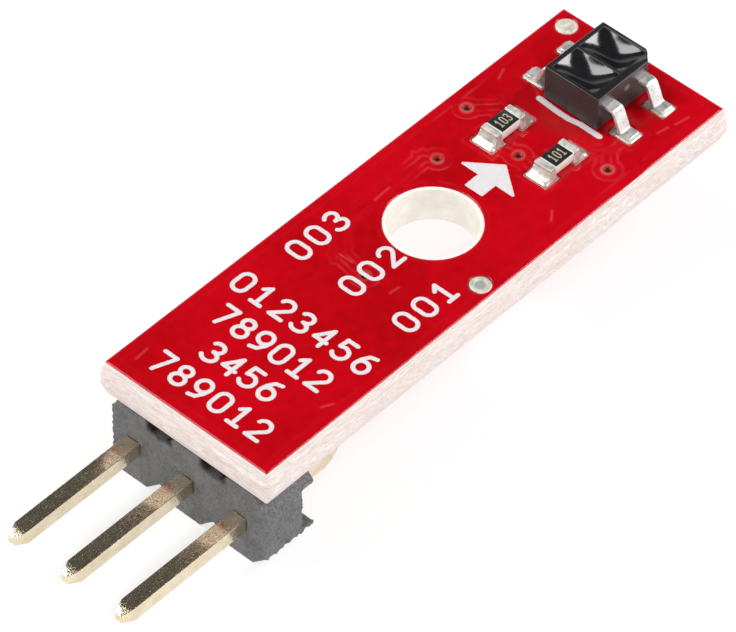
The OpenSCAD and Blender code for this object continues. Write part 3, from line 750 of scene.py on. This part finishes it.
class Print:
    """A field of ink on a plan grid, filled by strokes and solid shapes."""

    def __init__(self, low, high, cell):
        self.xs, self.ys = grid_over(low, high, cell, 0.3)
        self.x, self.y = np.meshgrid(self.xs, self.ys, indexing="ij")
        self.field = np.full(self.x.shape, 9.0)

    def near(self, low, high):
        i = np.searchsorted(self.xs, [low[0], high[0]])
        j = np.searchsorted(self.ys, [low[1], high[1]])
        return slice(max(i[0] - 1, 0), i[1] + 1), slice(max(j[0] - 1, 0), j[1] + 1)

    def stroke(self, points, radius):
        for a, b in zip(points, points[1:]):
            reach = radius + 0.12
            window = self.near(np.minimum(a, b) - reach, np.maximum(a, b) + reach)
            away = from_line(self.x[window], self.y[window], a, b) - radius
            self.field[window] = np.minimum(self.field[window], away)

    def solid(self, points, round_by):
        """A filled outline, grown by a small radius that rounds its corners."""
        ring = list(zip(points, points[1:] + points[:1]))
        self.field = np.minimum(self.field, distance_inside(self.x, self.y, ring) - round_by)

    def number(self, code, centre, angle, step, size, radius):
        """A row of digits about centre; size is that of one digit, outside its strokes."""
        w, h = size[0] - 2 * radius, size[1] - 2 * radius
        turn = Matrix.Rotation(math.radians(angle), 2)
        for k, character in enumerate(code):
            x0 = (k - (len(code) - 1) / 2) * step - w / 2
            for line in DIGITS[character]:
                placed = [turn @ Vector((x0 + w * px, h * (py - 0.5))) for px, py in line]
                self.stroke([(p.x + centre[0], p.y + centre[1]) for p in placed], radius)

    def make(self, name, low, high, ragged, material, node):
        """The ink as a thin slab whose edges wander by ragged millimetres."""
        near = np.abs(self.field) < 0.15
        spots = np.column_stack([self.x[near], self.y[near], np.zeros(near.sum())])
        self.field[near] += wobble(spots, 0.1, 7.0, 2) * ragged
        xs, ys, field = self.xs, self.ys, self.field

        def depth(x, y):
            i = np.clip(np.round((x - xs[0]) / (xs[1] - xs[0])).astype(int), 0, len(xs) - 1)
            j = np.clip(np.round((y - ys[0]) / (ys[1] - ys[0])).astype(int), 0, len(ys) - 1)
            return -field[i, j]

        def skin(x, y):
            level = low + (high - low) * (0.35 + 0.65 * smooth_step(depth(x, y), -0.01, 0.05))
            return level, {"edge": 1 - smooth_step(depth(x, y), -0.01, 0.06)}

        slab(name, field, xs, ys, low, skin, material, node, 60)


def board_print():
    """Rows of counting digits, pin numbers, a block arrow and a bar beside the sensor."""
    low, high = span("board_markings")
    ink = Print(low, high, 0.028)
    size, radius = (0.73, 1.08), 0.084
    for code, x, step in (("0123456", -6.72, 0.95), ("789012", -8.32, 0.89),
                          ("3456", -9.86, 0.87), ("789012", -11.4, 0.92)):
        ink.number(code, (x, 0.02), -90, step, size, radius)
    for code, (pin_low, pin_high) in zip(("003", "002", "001"), map(span, PINS)):
        ink.number(code, (-3.27, (pin_low[1] + pin_high[1]) / 2), 0, 0.98, size, radius)
    r = 0.06
    tail, neck, tip, half, wing = 2.12, 2.85, 3.95, 0.42, 1.3
    ink.solid([(tail + r, half - r), (tail + r, r - half), (neck + r, r - half), (neck + r, 2 * r - wing),
               (tip - 2 * r, 0), (neck + r, wing - 2 * r), (neck + r, half - r)], r)
    bar_x = span("sensor_housing")[0][0] - 0.14
    bends = [(0.02, -1.5), (0.03, -0.6), (-0.05, -0.1), (-0.04, 0.5), (0.03, 1.36)]
    ink.stroke([(bar_x + dx, y) for dx, y in bends], 0.12)
    ink.make("white_print", low[2], high[2], 0.008, INK, "board_markings")


# -------------------------------- solder

def joint(name, pads, base, side, feet, rise, spread, film, node, cell=0.04, radius=0.12):
    """Solder on pads: a film that climbs the feet standing in it in a hollow curve.

    pads and feet are plan boxes; side is +1 for joints on the upper face."""
    low = np.min([p[0] for p in pads], 0)
    high = np.max([p[1] for p in pads], 0)
    xs, ys = grid_over(low, high, cell)
    gx, gy = np.meshgrid(xs, ys, indexing="ij")
    field = np.full(gx.shape, 9.0)
    for a, b in pads:
        field = np.minimum(field, box_sdf(gx, gy, (a + b) / 2, (b - a) / 2, radius))

    def to(boxes, x, y, r):
        return np.min([box_sdf(x, y, (a + b) / 2, (b - a) / 2, r) for a, b in boxes], 0)

    def skin(x, y):
        climb = rise * np.exp(-np.maximum(to(feet, x, y, 0.02), 0) / spread)
        inward = smooth_step(-to(pads, x, y, radius), -0.01, 0.1)
        lumps = 1 + 0.12 * wobble(np.column_stack([x, y, x * 0]), 0.3, 3.0, 2)
        return base + side * (0.02 + (film + climb * lumps) * inward), {}

    slab(name, field, xs, ys, base, skin, SOLDER, node, 50, side)


def sensor_joints():
    """Solder under and round the four feet of the optical sensor."""
    pad_half, pad_near, pad_far = 0.36, 1.58, 2.58   # half width, and reach in Y from the centre line
    foot_l = 0.42
    pads, feet = [], []
    for node in LEADS:
        low, high = span(node)
        side = 1 if high[1] > pad_near else -1
        toe = high[1] if side > 0 else -low[1]
        middle, half = lead_strip(node)
        for boxes, reach, near, far in (
                (pads, pad_half, pad_near, pad_far), (feet, half, toe - foot_l, toe)):
            y = sorted((side * near, side * far))
            boxes.append((np.array([middle - reach, y[0]]), np.array([middle + reach, y[1]])))
    joint("sensor_joints", pads, PAD, 1, feet, 0.12, 0.07, 0.02, "sensor_solder")


def lead_strip(node):
    """Middle and half width in X of a sensor lead, from the part of it outside the housing."""
    housing = span("sensor_housing")[1][1]
    co = np.array([v.co for v in frame["nodes"][node].data.vertices]) / MM
    x = co[np.abs(co[:, 1]) > housing + 0.05, 0]
    return (x.min() + x.max()) / 2, (x.max() - x.min()) / 2


def resistor_joints(name, node, caps):
    low, high = span(node)
    pads, feet = [], []
    for cap_low, cap_high in solids(caps):
        out = -1 if cap_low[0] < (low[0] + high[0]) / 2 - 0.5 else 1
        if out < 0:
            x0, x1 = low[0] - 0.04, cap_high[0] + 0.06
        else:
            x0, x1 = cap_low[0] - 0.06, high[0] + 0.04
        pads.append((np.array([x0, cap_low[1] - 0.1]), np.array([x1, cap_high[1] + 0.1])))
        feet.append((cap_low[:2], cap_high[:2]))
    joint(name, pads, PAD, 1, feet, 0.3, 0.12, 0.03, node)


def header_joints():
    """Solder round the three feet of the pins, on the underside."""
    pads, feet = [], []
    half_pad = 0.55
    solder_low, solder_high = span("header_solder")
    for node in PINS:
        low, high = span(node)
        y = (low[1] + high[1]) / 2
        pads.append((np.array([solder_low[0] - 0.25, y - half_pad]),
                     np.array([solder_high[0] + 0.2, y + half_pad])))
        feet.append((np.array([solder_low[0], low[1]]), high[:2]))
    joint("header_joints", pads, PAD_UNDER, -1, feet, 0.42, 0.13, 0.04, "header_solder")


def dome(name, node, radius_over, base, side, rise, hollow=0.0):
    """A round tinned spot in place of a node, crowned, or sunk in its middle by hollow."""
    low, high = span(node)
    centre = (low + high)[:2] / 2
    radius = (high - low)[0] / 2 + radius_over
    xs, ys = grid_over(centre - radius, centre + radius, 0.03)
    gx, gy = np.meshgrid(xs, ys, indexing="ij")
    field = np.hypot(gx - centre[0], gy - centre[1]) - radius

    def skin(x, y):
        r = np.hypot(x - centre[0], y - centre[1]) / radius
        crown = rise * np.sqrt(np.maximum(1 - r ** 2, 0))
        pit = hollow * (1 - smooth_step(r, 0.45, 0.62))
        wave = 0.006 * wobble(np.column_stack([x, y, x * 0]), 0.2, 5.0, 2)
        core = (1 - smooth_step(r, 0.4, 0.66)) * (0.8 if hollow else 0.0)
        return base + side * (0.01 + crown - pit + wave * (r < 0.95)), {"core": core}

    slab(name, field, xs, ys, base, skin, PALE_TIN, node, 50, side)


# -------------------------------- header

def header_moulding():
    """The snapped header housing: softened edges, rough cut ends and burrs."""
    source = frame["nodes"]["header_housing"]
    data = source.data.copy()
    data.name = "header_moulding"
    data.transform(Matrix.Scale(1 / MM, 4))
    data.materials.clear()
    work = new_object("header_work", data)
    weld = work.modifiers.new("weld", "WELD")
    weld.merge_threshold = 0.0005
    remesh = work.modifiers.new("voxels", "REMESH")
    remesh.mode = "VOXEL"
    remesh.voxel_size = 0.045
    remesh.use_smooth_shade = True
    soften = work.modifiers.new("soften", "SMOOTH")
    soften.factor = 0.5
    soften.iterations = 3
    depsgraph = bpy.context.evaluated_depsgraph_get()
    mesh = bpy.data.meshes.new_from_object(work.evaluated_get(depsgraph))
    bpy.data.objects.remove(work)
    low, high = span("header_housing")
    co = np.empty(len(mesh.vertices) * 3)
    mesh.vertices.foreach_get("co", co)
    co = co.reshape(-1, 3)
    normals = np.array([v.normal for v in mesh.vertices])
    to_cut = np.minimum(co[:, 1] - low[1], high[1] - co[:, 1])
    cut = 1 - smooth_step(to_cut, 0.02, 0.12)
    fine = wobble(co, 0.12, 2.0, 2) * 0.006 + wobble(co, 0.5, 6.0, 2) * 0.008
    ragged = wobble(co, 0.3, 11.0) * 0.05 + wobble(co, 0.1, 14.0, 2) * 0.03
    move = fine + ragged * cut
    under = smooth_step(-normals[:, 2], 0.2, 0.8)
    burr = cut * under * smooth_step(-co[:, 2], -low[2] - 1.3, -low[2] - 0.6)
    co += normals * move[:, None]
    co[:, 2] -= burr * np.maximum(wobble(co, 0.22, 21.0, 2) + 0.35, 0) * 0.16
    co[:, 1] = np.clip(co[:, 1], low[1] - 0.05, high[1] + 0.05)
    mesh.vertices.foreach_set("co", (co * MM).ravel())
    mesh.update()
    strip = smooth_step(normals[:, 2], 0.3, 0.6) * (1 - smooth_step(normals[:, 2], 0.85, 0.95))
    ends = 1 - smooth_step(to_cut, 0.2, 0.75)
    set_attribute(mesh, "cut", np.clip(0.35 * cut + strip * ends, 0, 1))
    # painted shade: marks the moulding just under the board, near each joint between segments, for
    # darkening
    pitch = (span("pin_signal")[0] - span("pin_supply")[0])[1]
    from_joint = np.abs(np.abs(co[:, 1]) - pitch / 2)
    deep = 1 - smooth_step(high[2] - co[:, 2], 0.25, 0.6)
    painted_nook_shade = deep * (1 - smooth_step(from_joint, 0.5, 0.72))
    set_attribute(mesh, "painted_nook_shade", np.clip(painted_nook_shade, 0, 0.95))
    mesh.name = "header_moulding"
    finish_mesh("header_body", mesh, HEADER, "header_housing", 60)


# -------------------------------- optical sensor

def window(name, node):
    """Resin in one window, hollowed to a smooth bowl that runs out to the walls."""
    low, high = span(node)
    centre, half = (low + high)[:2] / 2, (high - low)[:2] / 2
    depth, rim = 0.33, high[2] - 0.01
    xs = np.linspace(low[0], high[0], 41)
    ys = np.linspace(low[1], high[1], 53)
    gx, gy = np.meshgrid(xs, ys, indexing="ij")
    u, v = (gx - centre[0]) / half[0], (gy - centre[1]) / half[1]
    bowl = (1 - u ** 2) * (1 - v ** 2)
    top = rim - depth * bowl
    m, n = gx.shape
    points = np.vstack([
        np.column_stack([gx.ravel(), gy.ravel(), top.ravel()]),
        np.column_stack([gx.ravel(), gy.ravel(), np.full(gx.size, low[2])]),
    ])
    faces = []
    for i in range(m - 1):
        for j in range(n - 1):
            a = i * n + j
            faces.append([a, a + n, a + n + 1, a + 1])
            faces.append([a + m * n, a + 1 + m * n, a + n + 1 + m * n, a + n + m * n])
    border = [i * n for i in range(m)] + [(m - 1) * n + j for j in range(1, n)]
    border += [i * n + n - 1 for i in range(m - 2, -1, -1)] + [j for j in range(n - 2, 0, -1)]
    for a, b in zip(border, border[1:] + border[:1]):
        faces.append([a, a + m * n, b + m * n, b])
    piece(name, points, faces, RESIN, node, 50, {})


# -------------------------------- resistors

def rounded_box(mesh, low, high, radius):
    """Adds a box with rounded edges to a bmesh, in millimetres."""
    size = high - low
    made = bmesh.ops.create_cube(mesh, size=1.0)
    bmesh.ops.scale(mesh, vec=Vector(size), verts=made["verts"])
    bmesh.ops.translate(mesh, vec=Vector((low + high) / 2), verts=made["verts"])
    edges = list(dict.fromkeys(e for v in made["verts"] for e in v.link_edges))
    bmesh.ops.bevel(mesh, geom=edges, offset=radius, segments=3, profile=0.6, affect="EDGES")


def end_caps(name, node):
    """Plated ends of a chip resistor, thick at the corners and wrapped over the body."""
    mesh = bmesh.new()
    for low, high in solids(node):
        rounded_box(mesh, low, high, 0.055)
    bmesh.ops.subdivide_edges(mesh, edges=mesh.edges[:], cuts=2, use_grid_fill=True)
    for v in mesh.verts:
        p = v.co
        v.co = p + v.normal * 0.008 * noise.fractal(p / 0.12, 0.8, 2.0, 2)
    finish_mesh(name, mesh_data(name, mesh, MM), CAP, node, 60)


def code_print(name, node, film, code):
    low, high = span(node)
    film_low, film_high = span(film)
    ink = Print(low, high, 0.012)
    middle = (film_low + film_high)[:2] / 2
    ink.number(code, middle, 0, 0.235, (0.19, 0.44), 0.026)
    ink.make(name, film_high[2], high[2] + 0.002, 0.006, CODE, node)


# -------------------------------- assembly

def dress_cad():
    """Materials and rounded edges for the CAD nodes that stay as they are."""
    plain = {
        "copper_top": COPPER, "copper_bottom": COPPER, "via_barrels": COPPER,
        "emitter_die": LAMP_CHIP, "detector_die": SENSE_CHIP,
        "emitter_bond_wire": GOLD, "detector_bond_wire": GOLD,
    }
    rounded = {                                    # material and width of the rounded edges
        "sensor_housing": (BLACK, 0.035),
        "pullup_core": (CERAMIC, 0.02), "series_core": (CERAMIC, 0.02),
        "pullup_film": (GLAZE, 0.008), "series_film": (GLAZE, 0.008),
    }
    rounded.update({name: (GOLD, 0.02) for name in PINS})
    rounded.update({name: (LEAD, 0.02) for name in LEADS})
    for name, material in plain.items():
        wear(frame["nodes"][name], material)
    for name, (material, width) in rounded.items():
        node = frame["nodes"][name]
        wear(node, material)
        round_edges(node, width)


def wear(node, material):
    """Gives a CAD node one material."""
    node.data.materials.clear()
    node.data.materials.append(material)


dress_cad()
laminate_body()
lacquer_sheet("red_lacquer_top", "solder_mask_top", "copper_top", 1, 0.05, 0.0)
lacquer_sheet("red_lacquer_bottom", "solder_mask_bottom", "copper_bottom", -1, 0.07, 0.05)
board_print()
header_moulding()
header_joints()
sensor_joints()
window("emitter_lens", "emitter_window")
window("detector_lens", "detector_window")
for part, code in (("pullup", "103"), ("series", "101")):
    end_caps(part + "_plated_ends", part + "_end_caps")
    resistor_joints(part + "_joints", part + "_solder", part + "_end_caps")
    code_print(part + "_digits", part + "_code_ink", part + "_film", code)
dome("tinned_hole_top", "plated_hole", 0.03, BOARD_T, 1, 0.05, 0.035)
dome("tinned_hole_bottom", "plated_hole", 0.03, 0.0, -1, 0.05, 0.02)
dome("tinned_disc", "fiducial_disc", 0.0, BOARD_T, 1, 0.05)


# -------------------------------- floor, lights, camera

def floor():
    """A wide, plain pale floor at the lowest point of the object."""
    look = Look("pale_floor", Specular_IOR_Level=0.1)
    tone = look.ramp(look.noise(60, 2), (0.3, (0.33, 0.33, 0.33)), (0.7, (0.36, 0.36, 0.36)))
    look.shader.inputs["Emission Color"].default_value = (1, 1, 1, 1)
    look.shader.inputs["Emission Strength"].default_value = 0.72
    look.shader.inputs["Roughness"].default_value = 0.9
    material = look.done(tone)
    mesh = bmesh.new()
    bmesh.ops.create_circle(mesh, cap_ends=True, segments=96, radius=3.0)
    data = mesh_data("floor", mesh)
    data.materials.append(material)
    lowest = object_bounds()[0][2]
    obj = new_object("floor", data)
    obj.location.z = lowest
    obj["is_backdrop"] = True


def softbox(name, direction, elevation, distance, size, power):
    """An area light that faces the board's middle; direction is its compass angle from +X."""
    lamp = bpy.data.lights.new(name, "AREA")
    lamp.shape = "RECTANGLE"
    lamp.size, lamp.size_y = size
    lamp.energy = power
    obj = new_object(name, lamp)
    a, e = math.radians(direction), math.radians(elevation)
    out = Vector((math.cos(a) * math.cos(e), math.sin(a) * math.cos(e), math.sin(e)))
    obj.location = out * distance
    obj.rotation_euler = out.to_track_quat("Z", "Y").to_euler()


def surroundings():
    """A bright band near the horizon under a dim ceiling, as in a light tent open at its top."""
    world = bpy.data.worlds.new("studio")
    world.use_nodes = True
    tree = world.node_tree
    coords = tree.nodes.new("ShaderNodeTexCoord")
    split = tree.nodes.new("ShaderNodeSeparateXYZ")
    ramp = tree.nodes.new("ShaderNodeValToRGB")
    tree.links.new(coords.outputs["Generated"], split.inputs[0])
    tree.links.new(split.outputs["Z"], ramp.inputs[0])
    levels = [(0.0, 1.0), (0.3, 0.8), (0.55, 0.08), (1.0, 0.1)]
    set_ramp(ramp, [(place, (level, level, level)) for place, level in levels])
    tree.links.new(ramp.outputs[0], tree.nodes["Background"].inputs["Color"])
    bpy.context.scene.world = world


def camera():
    """A long lens that looks down at the board past its header end."""
    azimuth, elevation, roll = math.radians(-48.527), math.radians(46.743), math.radians(1.162)
    distance, lens, sensor = 190.726, 273.18, 36.0
    back = Vector((math.sin(azimuth) * math.cos(elevation), -math.cos(azimuth) * math.cos(elevation),
                   math.sin(elevation)))
    right = Vector((0, 0, 1)).cross(back).normalized()
    up = back.cross(right)
    c, s = math.cos(roll), math.sin(roll)
    right, up = right * c + up * s, up * c - right * s
    aim_right, aim_up = 6.245, 3.441               # view centre from the header end's middle
    origin = Vector((MASK_LOW[0], 0, SKIN))
    place = origin + right * aim_right + up * aim_up + back * distance
    data = bpy.data.cameras.new("camera")
    data.lens = lens
    data.sensor_width = sensor
    data.clip_start = 0.01
    data.clip_end = 20
    obj = new_object("camera", data)
    turn = Matrix((right, up, back)).transposed().to_4x4()
    obj.matrix_world = Matrix.Translation(place * MM) @ turn
    bpy.context.scene.camera = obj


floor()
surroundings()
camera()
softbox("left_box", 118, 51, 0.7, (0.4, 0.26), 3.1)
softbox("right_box", -36, 44, 0.7, (0.28, 0.22), 2.7)
softbox("front_fill", -135, 34, 0.9, (0.5, 0.4), 2.7)
bpy.context.scene.view_settings.view_transform = "Standard"
